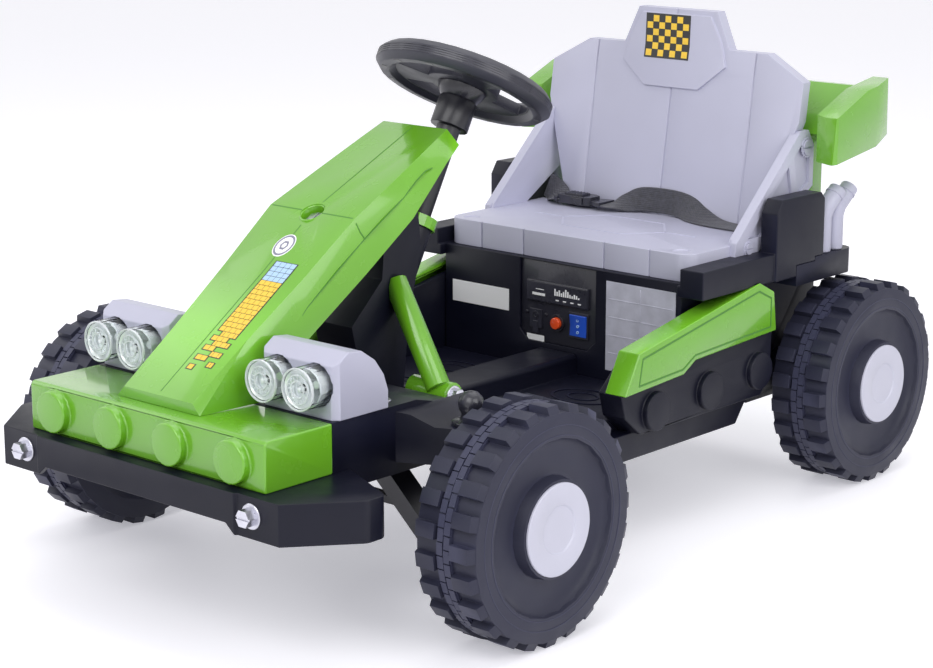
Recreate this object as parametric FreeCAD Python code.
import FreeCAD, Part
import math
import os

os.makedirs("parts", exist_ok=True)

# Child's electric kart in building-brick style. Millimetres.
# x runs to the driver's left, y backwards from the front axle, z up from the floor.

# Driving sizes: body, wheels and wheelbase
BODY_HALF = 178.0
WHEELBASE = 678.0
WHEEL_R = 120.0
TYRE_WIDTH = 74.0
FRONT_TRACK_OUT = 153.0
REAR_TRACK_OUT = 87.0

# Wheels and axles
LUG_COUNT = 24
LUG_HEIGHT = 7.0
LUG_ARC_WIDTH = 15.0
LUG_LENGTH = 27.0
SHOULDER = 4.0
RIM_R = 88.0
DISH_R = 76.0
DISH_DEPTH = 40.0
DRUM_R = 50.0
DRUM_PROUD = 4.0
CAP_R = 44.0
CAP_THICK = 2.5
AXLE_R = 7.0
RUN_GAP = 0.05
SEAT_GAP = 0.3

# Front suspension and steering
KINGPIN_OUT = 47.0
KINGPIN_R = 6.0
SLEEVE_R = 17.0
SLEEVE_LOW = 84.5
ARM_UNDER = 165.0
ARM_TOP = 203.0
ARM_END_R = 24.0
BEAM_THICK = 18.0
BEAM_DEPTH = 28.0
KNUCKLE_ARM = 45.0
KNUCKLE_ARM_LOW = 92.0
KNUCKLE_ARM_THICK = 8.0
TIE_LOW = 82.0
TIE_THICK = 8.0
TIE_PIN_R = 4.0
PIN_PLAY = 1.5
STEER_LIMIT = math.radians(45)
COLUMN_LEAN = math.radians(28.5)
COLUMN_R = 13.0
COLUMN_ROD_R = 6.0
CRANK_Z = 114.0
CRANK_R = 25.7
STEER_WHEEL_Y = 241.0
STEER_WHEEL_Z = 493.0
STEER_WHEEL_R = 99.0
RIM_TUBE_R = 12.0
SPOKE_THICK = 12.0
STEER_HUB_R = 32.0

# Front body
BUMPER_FRONT = 240.0
BUMPER_WIDER = 76.0
BUMPER_SEAM_X = 145.0
BUMPER_STEP = 3.0
BUMPER_TOP = 172.0
BUMPER_LOW = 131.0
BUMPER_CENTRE_LOW = 141.0
BUMPER_BACK = 112.0
BUMPER_TIP_Y = 158.0
BOLT_X = 166.0
BOLT_Z = 153.5
BOLT_PROUD = 12.0
BRICK_FRONT = 224.0
BRICK_BACK = 136.0
BRICK_TOP = 222.0
STUD_R = 21.5
STUD_PROUD = 9.0
DECK_UNDER = 153.0
DECK_KNEE_Y = -20.0
WALL = 4.0
HOOD_WALL = 3.5
HOLE_R = 14.0
LENS_Z = 254.0
LENS_FRONT = 156.0
LENS_WALL = 2.0
LEG_R = 13.0

# Middle and seat
FLOOR_TOP = 142.0
FLOOR_THICK = 8.0
TUB_FRONT = 110.0
BOX_LENGTH = 168.0
SILL_LOW = 96.0
SILL_TOP = 127.0
TUNNEL_HALF = 29.0
TUNNEL_TOP = 166.0
INNER_WALL = 8.0
BACK_THICK = 15.0
BRACE_THICK = 8.0
BELT_THICK = 3.0

# Rear body
WHEEL_ROOM = 6.2
PIPE_R = 10.5
WING_END_THICK = 30.0

# Widths that follow from the body's half width
DECK_HALF = BODY_HALF - 7
BRICK_HALF = DECK_HALF + 0.5
BUMPER_HALF = BODY_HALF + BUMPER_WIDER
LAMP_X_OUT = DECK_HALF + 1
LAMP_X_IN = 0.4 * DECK_HALF + 0.6
LAMP_WIDTH = LAMP_X_OUT - LAMP_X_IN
LENS_R = 0.208 * LAMP_WIDTH
STUD_PITCH = (BRICK_HALF + 3) / 2
KINGPIN_X = BODY_HALF + KINGPIN_OUT
FRONT_FACE_X = BODY_HALF + FRONT_TRACK_OUT
REAR_FACE_X = BODY_HALF + REAR_TRACK_OUT
SILL_HALF = BODY_HALF + 17
PANEL_OUT = BODY_HALF + 31
CAP_OUT = BODY_HALF + 37
BOX_HALF = BODY_HALF - 2
SEAT_HALF = BODY_HALF + 2
RAIL_OUT = BODY_HALF + 34
REAR_HALF = BODY_HALF - 28
WING_END_X = BODY_HALF + 58
WING_HALF = WING_END_X - WING_END_THICK

# Lengths that follow from the wheelbase
TUB_BACK = WHEELBASE - 106
BOX_FRONT = TUB_BACK - BOX_LENGTH
SEAT_FRONT = BOX_FRONT + 8
BACK_Y = TUB_BACK + 20
DECK_STEP_Y = BACK_Y + BACK_THICK + 3
REAR_BACK = WHEELBASE + 30
DECK_BACK = WHEELBASE + 14

# Wheel and column values that follow
LUG_ANGLE = math.asin(LUG_ARC_WIDTH / 2 / WHEEL_R)
TIP_R = WHEEL_R * math.cos(LUG_ANGLE)
AXLE_Z = TIP_R
TREAD_R = WHEEL_R - LUG_HEIGHT
DRUM_OUT = TYRE_WIDTH + DRUM_PROUD
STUB_END = TYRE_WIDTH - 4.0
FRONT_REACH = BUMPER_FRONT - BUMPER_STEP + BOLT_PROUD
REAR_REACH = WHEELBASE + TIP_R
MID_Y = (REAR_REACH - FRONT_REACH) / 2
LEAN_Y = math.sin(COLUMN_LEAN)
LEAN_Z = math.cos(COLUMN_LEAN)
COLUMN_FOOT_Z = 340.0
WHEEL_UP = (STEER_WHEEL_Z - COLUMN_FOOT_Z) / LEAN_Z
COLUMN_FOOT_Y = STEER_WHEEL_Y - WHEEL_UP * LEAN_Y
CRANK_DOWN = (COLUMN_FOOT_Z - CRANK_Z) / LEAN_Z

# Heights at the back, which clear the rear wheels
DECK_LOW = AXLE_Z + WHEEL_R + WHEEL_ROOM
BOX_TOP = DECK_LOW + 24
DECK_HIGH = BOX_TOP + 5
SEAT_TOP = BOX_TOP + 31
BLOCK_TOP = BOX_TOP + 80
REAR_LOW = AXLE_Z - 24

# Deck outline seen from the side: y, z
DECK_OUTLINE = (
    (-BRICK_BACK, BUMPER_TOP),
    (-BRICK_BACK, BRICK_TOP),
    (DECK_KNEE_Y, BRICK_TOP),
    (63, BRICK_TOP - 21),
    (122, BRICK_TOP - 57),
    (150, FLOOR_TOP + 8),
    (150, FLOOR_TOP),
    (TUB_FRONT, FLOOR_TOP),
    (TUB_FRONT, DECK_UNDER),
    (-BUMPER_BACK, DECK_UNDER),
    (-BUMPER_BACK, BUMPER_TOP),
)

# Hood stations: y, top z, half width at the top, lower z, half width at the lower edge.
# Both widths are shares of the deck's half width.
HOOD_SECTIONS = (
    (-203, 233, 0.292, BRICK_TOP + SEAT_GAP, 0.351),
    (-132, 283, 0.304, BRICK_TOP + SEAT_GAP, 0.386),
    (-60, 333, 0.333, 277, 0.395),
    (9, 384, 0.357, 330, 0.45),
    (75, 415, 0.322, 377, 0.462),
    (135, 443, 0.287, 426, 0.415),
    (163, 456, 0.269, 441, 0.368),
)

# Seat back, front face seen from the side: set-back from its foot, height over the seat
BACK_LINE = ((0, 0), (8, 59), (18, 127), (25, 172), (30, 201), (32, 245))

# Seat back outline seen from the front: x beyond the seat's half width, height over the seat
BACK_OUTLINE = ((-40, 0), (-28, 24), (6, 127), (6, 172), (-48, 201), (-102, 201), (-122, 245))

# Seam between green cap and black panel, and stepped top of the inner wall: y behind the box front, z
SEAM_LINE = ((-147, 176), (-44, 182), (-23, 194), (131, 201))
WALL_LINE = ((-106, 214), (-84, 220), (-47, 224), (39, 239), (75, 244), (120, 250))


def vec(x, y, z):
    return FreeCAD.Vector(x, y, z)


def prism(points, along):
    return Part.Face(Part.makePolygon(list(points) + [points[0]])).extrude(along)


def slab_x(outline, low, high):
    return prism([vec(low, y, z) for y, z in outline], vec(high - low, 0, 0))


def slab_y(outline, low, high):
    return prism([vec(x, low, z) for x, z in outline], vec(0, high - low, 0))


def slab_z(outline, low, high):
    return prism([vec(x, y, low) for x, y in outline], vec(0, 0, high - low))


def block(x, y, z):
    return Part.makeBox(x[1] - x[0], y[1] - y[0], z[1] - z[0], vec(x[0], y[0], z[0]))


def rod(start, end, radius):
    return Part.makeCylinder(radius, (end - start).Length, start, end - start)


def both_sides(half):
    return list(half) + [(-x, other) for x, other in reversed(half)]


def mirrored(shape):
    return shape.mirror(vec(0, 0, 0), vec(1, 0, 0))


def joined(shapes):
    return shapes[0].fuse(list(shapes[1:])).removeSplitter()


def pair(shape):
    return Part.makeCompound([shape, mirrored(shape)])


def behind(start, line):
    return [(start + y, z) for y, z in line]


def straight_along(edge, direction):
    ends = [vertex.Point for vertex in edge.Vertexes]
    if len(ends) < 2:
        return False
    run = ends[-1] - ends[0]
    return run.Length > 1 and abs(run.dot(direction)) > 0.999 * run.Length


def rounded(shape, radius, direction, chosen):
    edges = [e for e in shape.Edges if straight_along(e, direction) and chosen(e.CenterOfMass)]
    return shape.makeFillet(radius, edges) if edges else shape


def flat_faces(corners):
    # One face where the corners lie in a plane, two triangles where they don't
    ring = [p for i, p in enumerate(corners) if (p - corners[i - 1]).Length > 1e-6]
    if len(ring) < 3:
        return []
    normal = (ring[1] - ring[0]).cross(ring[2] - ring[0])
    if len(ring) > 3 and abs(normal.normalize().dot(ring[3] - ring[0])) > 1e-5:
        return flat_faces(ring[:3]) + flat_faces([ring[0], ring[2], ring[3]])
    return [Part.Face(Part.makePolygon(ring + ring[:1]))]


def skinned(rings, ends):
    # Closed body of flat panels between rings of equal length
    faces = []
    for start, end in zip(rings, rings[1:]):
        for i in range(len(start)):
            faces += flat_faces([start[i - 1], start[i], end[i], end[i - 1]])
    for ring in ends:
        faces.append(Part.Face(Part.makePolygon(ring + ring[:1])))
    body = Part.Solid(Part.Shell(faces))
    if body.Volume < 0:
        body.reverse()
    return body


def turned(profile, sides):
    # Profile of axial place and radius, turned about the x axis in flat sides
    rings = []
    for a, r in profile + profile[:1]:
        angles = [2 * math.pi * (i + 0.5) / sides for i in range(sides)]
        rings.append([vec(a, r * math.sin(t), r * math.cos(t)) for t in angles])
    return skinned(rings, [])


def tube(route, radius, sides):
    # Flat-sided tube along a route of points, mitred at the bends
    runs = [(b - a).normalize() for a, b in zip(route, route[1:])]
    aside = vec(0, 1, 0) if abs(runs[0].x) > 0.9 else vec(1, 0, 0)
    across = runs[0].cross(aside).normalize()
    other = runs[0].cross(across)
    ring = []
    for i in range(sides):
        t = 2 * math.pi * i / sides
        ring.append(route[0] + across * (radius * math.cos(t)) + other * (radius * math.sin(t)))
    rings = [ring]
    for i, run in enumerate(runs):
        cut = run + runs[i + 1] if i + 1 < len(runs) else run
        target = route[i + 1]
        rings.append([p + run * ((target - p).dot(cut) / run.dot(cut)) for p in rings[-1]])
    return skinned(rings, [rings[0], rings[-1]])


def on_column(up, back=0.0, x=0.0):
    y = COLUMN_FOOT_Y + up * LEAN_Y + back * LEAN_Z
    z = COLUMN_FOOT_Z + up * LEAN_Z - back * LEAN_Y
    return vec(x, y, z)


def crank_pin_y(z, back):
    # Where the crank pin's axis passes height z
    return COLUMN_FOOT_Y + (z - COLUMN_FOOT_Z) * LEAN_Y / LEAN_Z + back / LEAN_Z


def hood_top(y):
    for front, back in zip(HOOD_SECTIONS, HOOD_SECTIONS[1:]):
        if front[0] <= y <= back[0]:
            return front[1] + (back[1] - front[1]) * (y - front[0]) / (back[0] - front[0])
    return HOOD_SECTIONS[-1][1]


def emit(name, shape):
    placed = shape.copy()
    placed.translate(vec(0, -MID_Y, 0))
    placed.exportStep("parts/" + name + ".step")


# Wheels: a drum with a deep dish outside, a shallow one inside and two rows of lugs


def wheel():
    drum_back = TYRE_WIDTH - DISH_DEPTH
    profile = [
        (8, 0), (8, DISH_R + 2), (0, RIM_R + 4), (0, TREAD_R), (TYRE_WIDTH, TREAD_R),
        (TYRE_WIDTH, RIM_R), (drum_back, DISH_R), (drum_back, DRUM_R + 6), (DRUM_OUT, DRUM_R - 1),
        (DRUM_OUT, 0),
    ]
    lug_profile = [
        (TYRE_WIDTH - LUG_LENGTH, TREAD_R - 4), (TYRE_WIDTH - LUG_LENGTH, TIP_R),
        (TYRE_WIDTH - SHOULDER, TIP_R), (TYRE_WIDTH, TREAD_R - 3), (TYRE_WIDTH - 2, TREAD_R - 4),
    ]
    half = LUG_ARC_WIDTH / 2
    outer = prism([vec(a, -half, -r) for a, r in lug_profile], vec(0, 2 * half, 0))
    inner = outer.mirror(vec(TYRE_WIDTH / 2, 0, 0), vec(1, 0, 0))
    pitch = 360.0 / LUG_COUNT
    lugs = []
    for step in range(LUG_COUNT):
        for lug, phase in ((outer, 0.0), (inner, 0.5)):
            turned_lug = lug.copy()
            turned_lug.rotate(vec(0, 0, 0), vec(1, 0, 0), (step + phase) * pitch)
            lugs.append(turned_lug)
    bore = rod(vec(0, 0, 0), vec(DRUM_OUT, 0, 0), AXLE_R + RUN_GAP)
    return joined([turned(profile, LUG_COUNT)] + lugs).cut(bore)


def hub_cap():
    high = DRUM_OUT + CAP_THICK
    profile = [(DRUM_OUT, 0), (DRUM_OUT, CAP_R), (high - 1, CAP_R), (high, CAP_R - 1.5), (high, 0)]
    return turned(profile, LUG_COUNT)


def wheels():
    tyre = wheel()
    cap = hub_cap()
    for name, face_x, y in (("front", FRONT_FACE_X, 0.0), ("rear", REAR_FACE_X, WHEELBASE)):
        for label, shape in (("wheel", tyre), ("hub_cap", cap)):
            left = shape.copy()
            left.translate(vec(face_x - TYRE_WIDTH, y, AXLE_Z))
            emit(label + "_" + name + "_left", left)
            emit(label + "_" + name + "_right", mirrored(left))


# Steering: knuckles on kingpins, a tie rod in slots, a leaning column with a crank


def upright(profile, sides, x, y):
    # Turned body stood up along z
    body = turned(profile, sides)
    body.rotate(vec(0, 0, 0), vec(0, 1, 0), -90)
    body.translate(vec(x, y, 0))
    return body


def knuckle():
    top = ARM_UNDER - SEAT_GAP
    inner_face = FRONT_FACE_X - TYRE_WIDTH + 8
    sleeve = upright([(SLEEVE_LOW, 0), (SLEEVE_LOW, SLEEVE_R), (top, SLEEVE_R), (top, 0)], 16,
                     KINGPIN_X, 0)
    collar = turned([(0, 0), (0, AXLE_R + 6), (inner_face - SEAT_GAP - KINGPIN_X, AXLE_R + 6),
                     (inner_face - SEAT_GAP - KINGPIN_X, 0)], 12)
    collar.translate(vec(KINGPIN_X, 0, AXLE_Z))
    stub_tip = FRONT_FACE_X - TYRE_WIDTH + STUB_END
    stub = rod(vec(KINGPIN_X, 0, AXLE_Z), vec(stub_tip, 0, AXLE_Z), AXLE_R)
    slot_half = TIE_PIN_R + PIN_PLAY
    half = slot_half + 5
    reach = KNUCKLE_ARM + 4
    arm_z = (KNUCKLE_ARM_LOW, KNUCKLE_ARM_LOW + KNUCKLE_ARM_THICK)
    arm = slab_z([(KINGPIN_X + x, y) for x, y in both_sides(
        [(half, 0), (half, reach + 4), (half - 5, reach + half)])], arm_z[0], arm_z[1])
    slot = block((KINGPIN_X - slot_half, KINGPIN_X + slot_half),
                 (KNUCKLE_ARM - 1 - slot_half, reach + slot_half), arm_z)
    bore = rod(vec(KINGPIN_X, 0, 0), vec(KINGPIN_X, 0, 2 * ARM_UNDER), KINGPIN_R + RUN_GAP)
    return joined([sleeve, collar, stub, arm]).cut([slot, bore])


def tie_rod():
    z = (TIE_LOW, TIE_LOW + TIE_THICK)
    slot_half = TIE_PIN_R + PIN_PLAY
    slot_front = crank_pin_y(z[0], CRANK_R * math.cos(STEER_LIMIT)) - TIE_PIN_R / LEAN_Z - PIN_PLAY
    slot_back = crank_pin_y(z[1], CRANK_R) + TIE_PIN_R / LEAN_Z + PIN_PLAY
    outline = both_sides([
        (16, slot_front - 9), (24, KNUCKLE_ARM - 7), (KINGPIN_X, KNUCKLE_ARM - 7),
        (KINGPIN_X + 7, KNUCKLE_ARM), (KINGPIN_X, KNUCKLE_ARM + 7), (24, KNUCKLE_ARM + 7),
        (16, slot_back + 9)])
    parts = [slab_z(outline, z[0], z[1])]
    head_low = KNUCKLE_ARM_LOW + KNUCKLE_ARM_THICK + SEAT_GAP
    for x in (-KINGPIN_X, KINGPIN_X):
        parts.append(rod(vec(x, KNUCKLE_ARM, z[0]), vec(x, KNUCKLE_ARM, head_low), TIE_PIN_R))
        parts.append(upright([(head_low, 0), (head_low, TIE_PIN_R + 4), (head_low + 3, TIE_PIN_R + 4),
                              (head_low + 3, 0)], 12, x, KNUCKLE_ARM))
    return joined(parts).cut(block((-slot_half, slot_half), (slot_front, slot_back), z))


def column():
    tube_up = rod(on_column(-60), on_column(WHEEL_UP - 20), COLUMN_R)
    lower = rod(on_column(-CRANK_DOWN - 4), on_column(-60), COLUMN_ROD_R)
    crank = prism([on_column(-CRANK_DOWN - 4, back, x) for back, x in both_ways(
        [(-8, 3), (-3, 8), (CRANK_R + 2, 6), (CRANK_R + 6.5, 3)])], on_column(8) - on_column(0))
    pin = rod(on_column(-CRANK_DOWN - 28, CRANK_R), on_column(-CRANK_DOWN, CRANK_R), TIE_PIN_R)
    collar = tube([on_column(WHEEL_UP - 52), on_column(WHEEL_UP - 20)], COLUMN_R + 8, 16)
    return joined([tube_up, lower, crank, pin, collar])


def both_ways(half):
    return list(half) + [(back, -x) for back, x in reversed(half)]


def steering_wheel():
    ring_r = STEER_WHEEL_R - RIM_TUBE_R
    corner = RIM_TUBE_R * math.tan(math.pi / 8)
    ring = [(a, ring_r + b) for a, b in (
        (-corner, -RIM_TUBE_R), (corner, -RIM_TUBE_R), (RIM_TUBE_R, -corner), (RIM_TUBE_R, corner),
        (corner, RIM_TUBE_R), (-corner, RIM_TUBE_R), (-RIM_TUBE_R, corner), (-RIM_TUBE_R, -corner))]
    half = SPOKE_THICK / 2
    plate = turned([(-half, 0), (-half, ring_r), (half, ring_r), (half, 0)], 30)
    gap_in = STEER_HUB_R + 8
    gap_out = ring_r - RIM_TUBE_R - 1
    gap = turned([(-half - 1, gap_in), (-half - 1, gap_out), (half + 1, gap_out), (half + 1, gap_in)], 30)
    spread = math.radians(38)
    wedge_r = 2 * STEER_WHEEL_R
    wedge = prism([vec(-20, 0, 0), vec(-20, -wedge_r * math.sin(spread), wedge_r * math.cos(spread)),
                   vec(-20, wedge_r * math.sin(spread), wedge_r * math.cos(spread))], vec(40, 0, 0))
    opening = gap.common(wedge)
    openings = []
    for angle in (0, 120, 240):
        placed = opening.copy()
        placed.rotate(vec(0, 0, 0), vec(1, 0, 0), angle)
        openings.append(placed)
    return on_steering_plane(joined([turned(ring, 30), plate]).cut(openings))


def on_steering_plane(shape):
    # The shape's +x goes up along the column and its +z points forwards in the wheel's plane
    placed = shape.copy()
    placed.rotate(vec(0, 0, 0), vec(0, 1, 0), -90)
    placed.rotate(vec(0, 0, 0), vec(0, 0, 1), 90)
    placed.rotate(vec(0, 0, 0), vec(1, 0, 0), -math.degrees(COLUMN_LEAN))
    placed.translate(on_column(WHEEL_UP))
    return placed


def steering_boss():
    half = SPOKE_THICK / 2
    return on_steering_plane(turned([
        (half, 0), (half, STEER_HUB_R), (half + 6, STEER_HUB_R - 2), (half + 10, STEER_HUB_R - 9),
        (half + 10, 0)], 24))


def boss_under():
    # Socket under the spokes that takes the column's top
    half = SPOKE_THICK / 2
    return on_steering_plane(turned([
        (-half, 0), (-half, STEER_HUB_R - 4), (-half - 8, STEER_HUB_R - 8), (-20, 20), (-20, 0)], 24))


def steering():
    emit("knuckle_left", knuckle())
    emit("knuckle_right", mirrored(knuckle()))
    emit("tie_rod", tie_rod())
    emit("steering_column", column())
    emit("steering_wheel", steering_wheel())
    emit("steering_hub", steering_boss())
    emit("column_socket", boss_under())


# Front axle: upper arms on the deck, a drop beam below, a kingpin through both


def kingpin_arm():
    plan = slab_z([(DECK_HALF, -50), (KINGPIN_X, -ARM_END_R), (KINGPIN_X, ARM_END_R), (DECK_HALF, 50)],
                  ARM_UNDER, BRICK_TOP)
    end = upright([(ARM_UNDER, 0), (ARM_UNDER, ARM_END_R), (BRICK_TOP, ARM_END_R), (BRICK_TOP, 0)], 20,
                  KINGPIN_X, 0)
    hump = slab_y([(DECK_HALF, ARM_UNDER), (DECK_HALF, BRICK_TOP - 6), (DECK_HALF + 14, BRICK_TOP - 8),
                   (KINGPIN_X - 18, ARM_TOP), (KINGPIN_X + 40, ARM_TOP), (KINGPIN_X + 40, ARM_UNDER)],
                  -60, 60)
    pin = rod(vec(KINGPIN_X, 0, 0), vec(KINGPIN_X, 0, 300), KINGPIN_R + RUN_GAP)
    return joined([plan, end]).common(hump).cut(pin)


def kingpin():
    low = SLEEVE_LOW - SEAT_GAP - BEAM_THICK
    head = upright([(low - 4, 0), (low - 4, KINGPIN_R + 4), (low, KINGPIN_R + 4), (low, 0)], 6,
                   KINGPIN_X, 0)
    pin = rod(vec(KINGPIN_X, 0, low), vec(KINGPIN_X, 0, ARM_TOP), KINGPIN_R)
    return joined([head, pin])


def kingpin_cap():
    # Flange, neck and ball: height above the arm, radius
    profile = ((0, 0), (0, 19), (4, 19), (5, 11), (11, 9.5), (15, 12), (21, 13), (27, 11.5),
               (32, 7), (34, 0))
    return upright([(ARM_TOP + h, r) for h, r in profile], 14, KINGPIN_X, 0)


def axle_beam():
    low = SLEEVE_LOW - SEAT_GAP - BEAM_THICK
    high = low + BEAM_THICK
    outline = both_sides([(KINGPIN_X, low), (KINGPIN_X, high), (KINGPIN_X - 40, high),
                          (KINGPIN_X - 115, DECK_UNDER)])
    arch = both_sides([(KINGPIN_X - 48, low), (KINGPIN_X - 125, DECK_UNDER - BEAM_THICK)])
    half = BEAM_DEPTH / 2
    beam = slab_y(outline, -half, half).cut(slab_y(arch, -half, half))
    eyes = []
    holes = []
    for x in (-KINGPIN_X, KINGPIN_X):
        eyes.append(upright([(low, 0), (low, half), (high, half), (high, 0)], 16, x, 0))
        holes.append(rod(vec(x, 0, low), vec(x, 0, high), KINGPIN_R + RUN_GAP))
    return joined([beam] + eyes).cut(holes)


def front_axle():
    emit("kingpin_arms", pair(kingpin_arm()))
    emit("kingpins", pair(kingpin()))
    emit("kingpin_caps", pair(kingpin_cap()))
    emit("front_axle_beam", axle_beam())


# Front body: bumper, studded brick, deck, hood and lamps


def bumper():
    end_face = -BUMPER_FRONT + BUMPER_STEP
    shoulder_x = BUMPER_HALF - 52
    half = [(BUMPER_SEAM_X, -BUMPER_FRONT), (BUMPER_SEAM_X + 2, end_face), (shoulder_x, end_face),
            (BUMPER_HALF, -BUMPER_TIP_Y - 16), (BUMPER_HALF, -BUMPER_TIP_Y + 8),
            (DECK_HALF, -BUMPER_BACK)]
    solid = slab_z(both_sides(half), BUMPER_LOW, BUMPER_TOP)
    solid = rounded(solid, 12, vec(0, 0, 1), lambda c: abs(c.x) > BUMPER_HALF - 5)
    notch = slab_y(both_sides([(BUMPER_SEAM_X, BUMPER_LOW), (BUMPER_SEAM_X - 12, BUMPER_CENTRE_LOW)]),
                   -BUMPER_FRONT - 1, -BUMPER_BACK)
    inner = [(BUMPER_SEAM_X, end_face + WALL), (shoulder_x - 2, end_face + WALL),
             (BUMPER_HALF - WALL - 3, -BUMPER_TIP_Y - 12), (BUMPER_HALF - WALL - 3, -BUMPER_TIP_Y),
             (DECK_HALF, -BUMPER_BACK - WALL)]
    pocket = slab_z(both_sides(inner), BUMPER_LOW, BUMPER_TOP - WALL)
    return solid.cut([notch, pocket])


def bumper_bolts():
    face = -BUMPER_FRONT + BUMPER_STEP
    washer = tube([vec(BOLT_X, face, BOLT_Z), vec(BOLT_X, face - 3, BOLT_Z)], 12.5, 16)
    corners = [(BOLT_X + 10 * math.cos(math.radians(a)), BOLT_Z + 10 * math.sin(math.radians(a)))
               for a in range(0, 360, 60)]
    return pair(joined([washer, slab_y(corners, face - BOLT_PROUD, face - 3)]))


def nose_brick():
    body = block((-BRICK_HALF, BRICK_HALF), (-BRICK_FRONT, -BRICK_BACK), (BUMPER_TOP, BRICK_TOP))
    body = rounded(body, 5, vec(1, 0, 0), lambda c: c.z > BRICK_TOP - 1 and c.y < -BRICK_BACK - 1)
    pocket = block((-BRICK_HALF + WALL, BRICK_HALF - WALL), (-BRICK_FRONT + WALL, -BRICK_BACK - WALL),
                   (BUMPER_TOP, BRICK_TOP - WALL))
    middle = (BUMPER_TOP + BRICK_TOP) / 2
    studs = []
    for place in (-1.5, -0.5, 0.5, 1.5):
        x = place * STUD_PITCH
        studs.append(tube([vec(x, -BRICK_FRONT + 1, middle), vec(x, -BRICK_FRONT - STUD_PROUD, middle)],
                          STUD_R, 20))
    return joined([body] + studs).cut(pocket)


def deck():
    solid = slab_x(DECK_OUTLINE, -DECK_HALF, DECK_HALF)
    inside = ((-BRICK_BACK + WALL, BUMPER_TOP), (-BRICK_BACK + WALL, BRICK_TOP - WALL),
              (DECK_KNEE_Y, BRICK_TOP - WALL), (61, BRICK_TOP - 21 - WALL),
              (TUB_FRONT, BRICK_TOP - 50 - WALL), (TUB_FRONT, DECK_UNDER),
              (-BUMPER_BACK + WALL, DECK_UNDER), (-BUMPER_BACK + WALL, BUMPER_TOP))
    pocket = slab_x(inside, -DECK_HALF + WALL, DECK_HALF - WALL)
    passage = rod(on_column(-CRANK_DOWN), on_column(-60), COLUMN_ROD_R + 5)
    saddle = rod(vec(-118, 95, 193), vec(118, 95, 193), LEG_R + 1 + SEAT_GAP)
    return solid.cut([pocket, passage, saddle])


def hood_body(wall):
    rings = []
    for y, top, top_share, low, low_share in HOOD_SECTIONS:
        top_half = top_share * DECK_HALF
        low_half = low_share * DECK_HALF
        splay = (low_half - top_half) / (top - low)
        drop = 3 if wall else 0
        base_half = low_half + splay * drop - wall
        crown_half = top_half - wall * 0.6
        crown = top - wall * 1.2
        rings.append([vec(-base_half, y, low - drop), vec(base_half, y, low - drop),
                      vec(crown_half, y, crown), vec(-crown_half, y, crown)])
    return skinned(rings, [rings[0], rings[-1]])


def hood():
    front = HOOD_SECTIONS[0][0]
    back = HOOD_SECTIONS[-1][0]
    walls = [block((-100, 100), (y, y + HOOD_WALL), (0, 500)) for y in (front, back - HOOD_WALL)]
    shell = hood_body(0).cut(hood_body(HOOD_WALL).cut(walls))
    hole_y = HOOD_SECTIONS[3][0]
    hole = rod(vec(0, hole_y + 12, hood_top(hole_y) - 24), vec(0, hole_y - 12, hood_top(hole_y) + 24), HOLE_R)
    return shell.cut(hole)


def lamp_housing():
    outline = ((-132, BRICK_TOP), (-132, 275), (-114, 287), (-96, 285), (-78, 273), (-66, 257),
               (-60, 240), (-60, BRICK_TOP))
    plan = ((LAMP_X_IN, -60), (LAMP_X_IN, -126), (LAMP_X_IN + 6, -132), (LAMP_X_OUT - 6, -132),
            (LAMP_X_OUT, -126), (LAMP_X_OUT, -60))
    body = slab_x(outline, LAMP_X_IN, LAMP_X_OUT).common(slab_z(plan, BRICK_TOP, 300))
    profile = [(0, 0), (0, LENS_R + SEAT_GAP), (38, LENS_R + SEAT_GAP), (38, 0)]
    return body.cut([facing_front(profile, 16, x, -140, LENS_Z) for x in lens_places()])


def lens_places():
    middle = (LAMP_X_IN + LAMP_X_OUT) / 2
    apart = 0.243 * LAMP_WIDTH
    return (middle - apart, middle + apart)


def facing_front(profile, sides, x, y, z):
    # Turned body whose profile runs backwards from its front at y
    body = turned(profile, sides)
    body.rotate(vec(0, 0, 0), vec(0, 0, 1), 90)
    body.translate(vec(x, y, z))
    return body


def lens(x):
    depth = LENS_FRONT - 104
    inner = LENS_R - LENS_WALL
    profile = [(0, 0), (0, LENS_R - 2), (2, LENS_R), (depth, LENS_R), (depth, inner), (3, inner), (3, 0)]
    return facing_front(profile, 16, x, -LENS_FRONT, LENS_Z)


def reflector(x):
    # Bowl with the bulb on its axis
    radius = LENS_R - LENS_WALL - SEAT_GAP
    depth = LENS_FRONT - 103 - 12
    profile = [(0, radius), (depth, 6), (depth, 0), (12, 0), (12, 4), (depth - 3, 4.5), (0, radius - 1.5)]
    return facing_front(profile, 12, x, -LENS_FRONT + 12, LENS_Z)


def front_body():
    emit("bumper", bumper())
    emit("bumper_bolts", bumper_bolts())
    emit("nose_brick", nose_brick())
    emit("front_deck", deck())
    emit("hood", hood())
    emit("lamp_housings", pair(lamp_housing()))
    lenses = [lens(x) for x in lens_places()]
    mirrors = [reflector(x) for x in lens_places()]
    emit("lamp_lenses", Part.makeCompound(lenses + [mirrored(s) for s in lenses]))
    emit("lamp_reflectors", Part.makeCompound(mirrors + [mirrored(s) for s in mirrors]))


# Pylon that carries the column and the hood, with its two legs


def pylon():
    lift = HOOD_WALL * 1.2 + SEAT_GAP
    outline = ((36, 262), (82, 305), (92, hood_top(92) - lift), (130, hood_top(130) - lift), (142, 330),
               (122, 256), (110, 150), (50, 150), (44, 230))
    body = slab_x(outline, -28, 28)
    sleeve = tube([on_column(-130), on_column(8)], COLUMN_R + 6, 20)
    body = joined([body, sleeve]).cut(slab_x(DECK_OUTLINE, -DECK_HALF, DECK_HALF))
    bore = rod(on_column(-61), on_column(60), COLUMN_R + RUN_GAP)
    rod_way = rod(on_column(-CRANK_DOWN), on_column(-60), COLUMN_ROD_R + 3)
    return body.cut([bore, rod_way])


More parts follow.
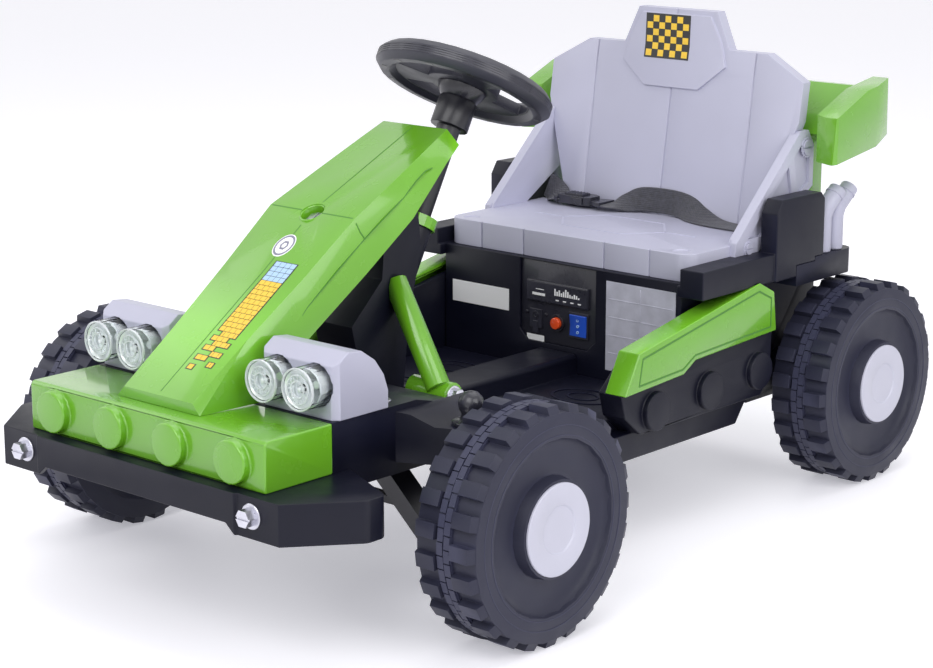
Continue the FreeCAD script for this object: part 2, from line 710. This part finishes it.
def column_clip():
    ring = tube([on_column(8), on_column(20)], COLUMN_R + 9, 16)
    return ring.cut(tube([on_column(0), on_column(40)], COLUMN_R + 1.3, 16))


def support_leg():
    top = vec(24, 105, 300)
    foot = vec(100, 90, 200)
    barrel = tube([vec(60, 95, 193), vec(116, 95, 193)], LEG_R + 1, 16)
    leg = tube([top, foot], LEG_R, 12)
    return joined([leg, barrel]).cut(pylon()).cut(slab_x(DECK_OUTLINE, 0, 60))


def pylon_group():
    emit("pylon", pylon())
    emit("column_clip", column_clip())
    emit("support_legs", pair(support_leg()))


# Tub, side panels and pedal


def tub():
    floor = block((-BODY_HALF, BODY_HALF), (TUB_FRONT, TUB_BACK), (FLOOR_TOP - FLOOR_THICK, FLOOR_TOP))
    tunnel = block((-TUNNEL_HALF, TUNNEL_HALF), (165, BOX_FRONT), (FLOOR_TOP - 1, TUNNEL_TOP))
    tunnel = rounded(tunnel, 6, vec(0, 1, 0), lambda c: c.z > TUNNEL_TOP - 1)
    under = block((-TUNNEL_HALF + WALL, TUNNEL_HALF - WALL), (165 + WALL, BOX_FRONT - WALL),
                  (SILL_LOW, TUNNEL_TOP - WALL))
    sill_low = FLOOR_TOP - FLOOR_THICK
    inner_x = BODY_HALF - 28
    sill_side = slab_x(behind(BOX_FRONT, [(-174, sill_low), (-129, SILL_LOW), (84, SILL_LOW),
                                          (113, sill_low)]), inner_x, SILL_HALF)
    ledge = block((BODY_HALF, SILL_HALF + 1), (BOX_FRONT - 204, BOX_FRONT + 156), (SILL_TOP, FLOOR_TOP))
    pocket = block((inner_x + WALL, SILL_HALF - WALL), (BOX_FRONT - 164, BOX_FRONT + 136),
                   (SILL_LOW - 1, SILL_TOP - WALL))
    sill = sill_side.cut([ledge, pocket])
    return joined([floor, tunnel, sill, mirrored(sill)]).cut(under)


def side_cap():
    # Green cap, hollow towards the inner wall
    x_low = BODY_HALF + INNER_WALL
    outline = behind(BOX_FRONT, ((-124, 219), (97, 261), (125, 247)) + tuple(reversed(SEAM_LINE)))
    hollow = behind(BOX_FRONT, ((-118, 214), (96, 255), (120, 244), (126, 205), (-23, 198), (-44, 187),
                                (-134, 182)))
    return slab_x(outline, x_low, CAP_OUT).cut([slab_x(hollow, x_low, CAP_OUT - WALL), rail()])


def side_panel():
    # Black panel below the seam with the inner wall that stands up behind the cap
    foot = ((129, 145), (111, SILL_TOP), (-112, SILL_TOP), (-140, 150))
    panel = slab_x(behind(BOX_FRONT, SEAM_LINE + foot), BODY_HALF, PANEL_OUT)
    wall = slab_x(behind(BOX_FRONT, ((-147, 176),) + WALL_LINE + ((125, 247), (131, 201)) + foot),
                  BODY_HALF, BODY_HALF + INNER_WALL)
    studs = [tube([vec(PANEL_OUT - 1, BOX_FRONT + y, z), vec(CAP_OUT + 1, BOX_FRONT + y, z)], STUD_R, 20)
             for y, z in ((-89, 149.5), (9, 153), (103, 158))]
    return joined([panel, wall] + studs).cut(rail())


def pedal():
    x = -DECK_HALF + 26
    plate = block((x, x + 60), (128, 136), (152, 214))
    plate.rotate(vec(0, 132, 152), vec(1, 0, 0), -30)
    return plate.cut(slab_x(DECK_OUTLINE, -DECK_HALF, DECK_HALF))


def middle():
    emit("chassis_tub", tub())
    emit("side_caps", pair(side_cap()))
    emit("side_panels", pair(side_panel()))
    emit("pedal", pedal())


# Seat box with its controls, seat, braces and belt


def seat_box():
    outer = block((-BOX_HALF, BOX_HALF), (BOX_FRONT, TUB_BACK), (FLOOR_TOP, BOX_TOP))
    hollow = block((-BOX_HALF + WALL, BOX_HALF - WALL), (BOX_FRONT + 2 * WALL, TUB_BACK - WALL),
                   (FLOOR_TOP, BOX_TOP - WALL))
    recess = slab_y(panel_outline(0), BOX_FRONT, BOX_FRONT + 5)
    return outer.cut([hollow, recess])


def panel_outline(inset):
    left, right, low, high = -58 + inset, 55 - inset, BOX_TOP - 98 + inset, BOX_TOP - 2 - inset
    return ((left, low + 12), (left + 12, low), (right - 12, low), (right, low + 12), (right, high),
            (left, high))


def controls():
    plate = slab_y(panel_outline(SEAT_GAP), BOX_FRONT + 3, BOX_FRONT + 5)
    radio = block((-47, 45), (BOX_FRONT - 1, BOX_FRONT + 3), (BOX_TOP - 50, BOX_TOP - 25))
    level = BOX_TOP - 72
    button = tube([vec(-2, BOX_FRONT + 3, level), vec(-2, BOX_FRONT - 4, level)], 7, 16)
    low = BOX_TOP - 83
    rocker = slab_x(((BOX_FRONT + 3, low), (BOX_FRONT + 3, low + 25), (BOX_FRONT - 2, low + 25),
                     (BOX_FRONT, low + 13), (BOX_FRONT - 1, low)), 18, 42)
    emit("control_panel", plate)
    emit("radio", radio)
    emit("start_button", button)
    emit("rocker_switch", rocker)


def battery():
    return block((-75, 75), (BOX_FRONT + 36, BOX_FRONT + 136), (FLOOR_TOP, BOX_TOP - 34))


def seat_base():
    body = block((-SEAT_HALF, SEAT_HALF), (SEAT_FRONT, BACK_Y), (BOX_TOP, SEAT_TOP))
    body = rounded(body, 20, vec(0, 0, 1), lambda c: c.y < SEAT_FRONT + 1)
    grooves = []
    for x in (-125, -60, 60, 125):
        grooves.append(block((x - 1, x + 1), (SEAT_FRONT - 1, SEAT_FRONT + 2), (BOX_TOP, SEAT_TOP)))
    cup = [(SEAT_TOP - 1.5, 0), (SEAT_TOP - 1.5, 10), (SEAT_TOP, 10), (SEAT_TOP, 0)]
    cups = [upright(cup, 12, x, SEAT_FRONT + 18) for x in (24 - SEAT_HALF, SEAT_HALF - 24)]
    return body.cut(grooves + cups)


def back_profile(proud):
    front = [(BACK_Y + y - proud, SEAT_TOP + z) for y, z in BACK_LINE]
    rear = [(BACK_Y + y + BACK_THICK, SEAT_TOP + z) for y, z in reversed(BACK_LINE)]
    return front + rear


def seat_back():
    outline = both_sides([(SEAT_HALF + x, SEAT_TOP + z) for x, z in BACK_OUTLINE])
    body = slab_x(back_profile(0), -220, 220).common(slab_y(outline, BACK_Y - 20, BACK_Y + 80))
    badge = [(x, SEAT_TOP + z) for x, z in both_sides([(40, 152), (76, 181), (66, 211), (50, 239)])]
    badge = slab_y(badge, BACK_Y - 20, BACK_Y + 80)
    raised = slab_x(back_profile(3), -80, 80).common(badge)
    foot = block((40 - SEAT_HALF, SEAT_HALF - 40), (BACK_Y, BACK_Y + BACK_THICK), (BOX_TOP, SEAT_TOP))
    skin = [(y + 1.5, z) for y, z in back_profile(0)]
    grooves = []
    for x in (-117, 0, 117):
        groove = slab_x(back_profile(0), x - 1, x + 1).cut(slab_x(skin, x - 2, x + 2))
        grooves.append(groove.cut(badge))
    return joined([body, raised, foot]).cut(grooves).cut(pair(brace_plate()))


def by_back(outline, low, high):
    # Slab whose outline is given from the foot of the seat back and the seat's top
    return slab_x([(BACK_Y + y, SEAT_TOP + z) for y, z in outline], low, high)


def brace_plate():
    # Plate on the seat's side with a hook over its top edge
    head = [(20, 117), (36, 117), (48, 99), (48, 51)]
    side = [(-104, -12), (-102, 3)] + head + [(-32, 3), (-58, -12)]
    hook = [(-101, 0), (-99, 6)] + head + [(-37, 0)]
    outer = by_back(side, SEAT_HALF, SEAT_HALF + BRACE_THICK)
    inner = by_back(hook, SEAT_HALF - 4, SEAT_HALF)
    return joined([outer, inner])


def brace():
    hollows = [
        [(-80, 5), (-47, 36), (-40, 14), (-55, 5)],
        [(-36, 46), (-2, 78), (8, 37), (-30, 15)],
        [(8, 87), (28, 106), (40, 95), (40, 56), (18, 43)],
    ]
    x_high = SEAT_HALF + BRACE_THICK
    cuts = [by_back(hollow, x_high - 4, x_high) for hollow in hollows]
    return brace_plate().cut(cuts)


def lap_belt():
    # Webbing on the seat and up against the foot of its back
    low = SEAT_TOP
    high = low + BELT_THICK
    lean = (BACK_LINE[1][0] - BACK_LINE[0][0]) / (BACK_LINE[1][1] - BACK_LINE[0][1])
    rise = 24
    section = behind(BACK_Y, ((-26, low), (0, low), (lean * rise, low + rise),
                              (lean * rise - BELT_THICK, low + rise), (-BELT_THICK, high), (-26, high)))
    return slab_x(section, 6 - SEAT_HALF, SEAT_HALF - 6)


def belt_buckle():
    low = SEAT_TOP + BELT_THICK
    outline = behind(BACK_Y, ((-32, low), (-6, low), (-6, low + 14), (-28, low + 11)))
    return slab_x(outline, 48 - SEAT_HALF, 104 - SEAT_HALF)


def seat():
    emit("seat_box", seat_box())
    controls()
    emit("battery", battery())
    emit("seat_base", seat_base())
    emit("seat_back", seat_back())
    emit("seat_braces", pair(brace()))
    emit("lap_belt", lap_belt())
    emit("belt_buckle", belt_buckle())


# Rear body: rails, deck, pipes and wing


def rail():
    lip = BOX_TOP - 13
    top = BOX_TOP + 19
    outline = ((BOX_HALF, lip), (RAIL_OUT, lip), (RAIL_OUT, top), (SEAT_HALF, top), (SEAT_HALF, BOX_TOP),
               (BOX_HALF, BOX_TOP))
    bar = slab_y(outline, BOX_FRONT - 9, TUB_BACK)
    x_low = SEAT_HALF + BRACE_THICK + 4
    y_low = TUB_BACK - 41
    y_high = TUB_BACK + 55
    post = slab_x(((y_low, lip), (y_low, BLOCK_TOP - 15), (y_low + 10, BLOCK_TOP), (y_high - 8, BLOCK_TOP),
                   (y_high, BLOCK_TOP - 8), (y_high, DECK_HIGH), (DECK_STEP_Y, DECK_HIGH), (DECK_STEP_Y, BOX_TOP),
                   (TUB_BACK, BOX_TOP), (TUB_BACK, lip)), x_low, CAP_OUT)
    return joined([bar, post])


def rear_deck():
    lower = block((-REAR_HALF, REAR_HALF), (TUB_BACK, REAR_BACK), (REAR_LOW, DECK_LOW + 1))
    lower = rounded(lower, 12, vec(1, 0, 0), lambda c: c.y > REAR_BACK - 1)
    corner = [(CAP_OUT, DECK_BACK - 12), (CAP_OUT - 4, DECK_BACK - 4), (CAP_OUT - 12, DECK_BACK)]
    upper = slab_z(both_sides([(CAP_OUT, TUB_BACK)] + corner), DECK_LOW, BOX_TOP)
    step = slab_z(both_sides([(CAP_OUT, DECK_STEP_Y)] + corner), DECK_LOW, DECK_HIGH)
    hollow = block((-REAR_HALF + WALL, REAR_HALF - WALL), (TUB_BACK + WALL, REAR_BACK - WALL),
                   (REAR_LOW, DECK_LOW))
    axle = rod(vec(-300, WHEELBASE, AXLE_Z), vec(300, WHEELBASE, AXLE_Z), AXLE_R + RUN_GAP)
    return joined([lower, upper, step]).cut([hollow, axle])


def gear_motor():
    inner = REAR_FACE_X - TYRE_WIDTH
    case = tube([vec(REAR_HALF, WHEELBASE, AXLE_Z), vec(inner - 5, WHEELBASE, AXLE_Z)], 34, 16)
    can = tube([vec(REAR_HALF, WHEELBASE - 42, AXLE_Z + 12), vec(inner - 9, WHEELBASE - 42, AXLE_Z + 12)],
               22, 12)
    axle = rod(vec(0, WHEELBASE, AXLE_Z), vec(300, WHEELBASE, AXLE_Z), AXLE_R + RUN_GAP)
    return joined([case, can]).cut(axle)


def rear_axle():
    tip = REAR_FACE_X - TYRE_WIDTH + STUB_END
    return rod(vec(-tip, WHEELBASE, AXLE_Z), vec(tip, WHEELBASE, AXLE_Z), AXLE_R)


def exhaust_pipe(y):
    x = CAP_OUT - PIPE_R - 1.5
    foot = vec(x, y, DECK_HIGH)
    bend = vec(x, y, DECK_HIGH + 47)
    tip = bend + vec(4, 25, 25)
    slant = (tip - bend).normalize()
    return tube([foot, bend - vec(0, 0, 6), bend + slant * 6, tip], PIPE_R, 14)


def wing():
    blade = by_wing(((-38, 111), (-24, 131), (22, 163), (44, 161), (22, 139), (-26, 101)),
                    -WING_HALF, WING_HALF)
    side = by_wing(((-67, 82), (23, 95), (58, 104), (55, 171), (-2, 162), (-64, 136)),
                   WING_HALF, WING_END_X)
    plan = slab_z([(WING_HALF, WHEELBASE - 60), (WING_END_X - 4, WHEELBASE - 68), (WING_END_X, WHEELBASE - 62),
                   (WING_END_X, WHEELBASE + 19), (WING_END_X - 10, WHEELBASE + 60),
                   (WING_HALF, WHEELBASE + 60)], SEAT_TOP, SEAT_TOP + 200)
    end = side.common(plan)
    return joined([blade, end, mirrored(end)])


def by_wing(outline, low, high):
    # Slab whose outline is given from the rear axle and the seat's top
    return slab_x([(WHEELBASE + y, SEAT_TOP + z) for y, z in outline], low, high)


def wing_strut():
    foot = DECK_HIGH - SEAT_TOP
    outline = ((-38, foot), (-3, foot), (-3, 79), (8, 127), (-30, 104), (-38, 79))
    return by_wing(outline, SEAT_HALF - 25, SEAT_HALF - 3).cut(wing())


def rear_body():
    emit("side_rails", pair(rail()))
    emit("rear_deck", rear_deck())
    emit("gear_motors", pair(gear_motor()))
    emit("rear_axle", rear_axle())
    pipes = [exhaust_pipe(WHEELBASE - 37), exhaust_pipe(WHEELBASE - 12)]
    emit("exhaust_pipes", Part.makeCompound(pipes + [mirrored(s) for s in pipes]))
    emit("rear_wing", wing())
    emit("wing_struts", pair(wing_strut()))


wheels()
steering()
front_axle()
front_body()
pylon_group()
middle()
seat()
rear_body()
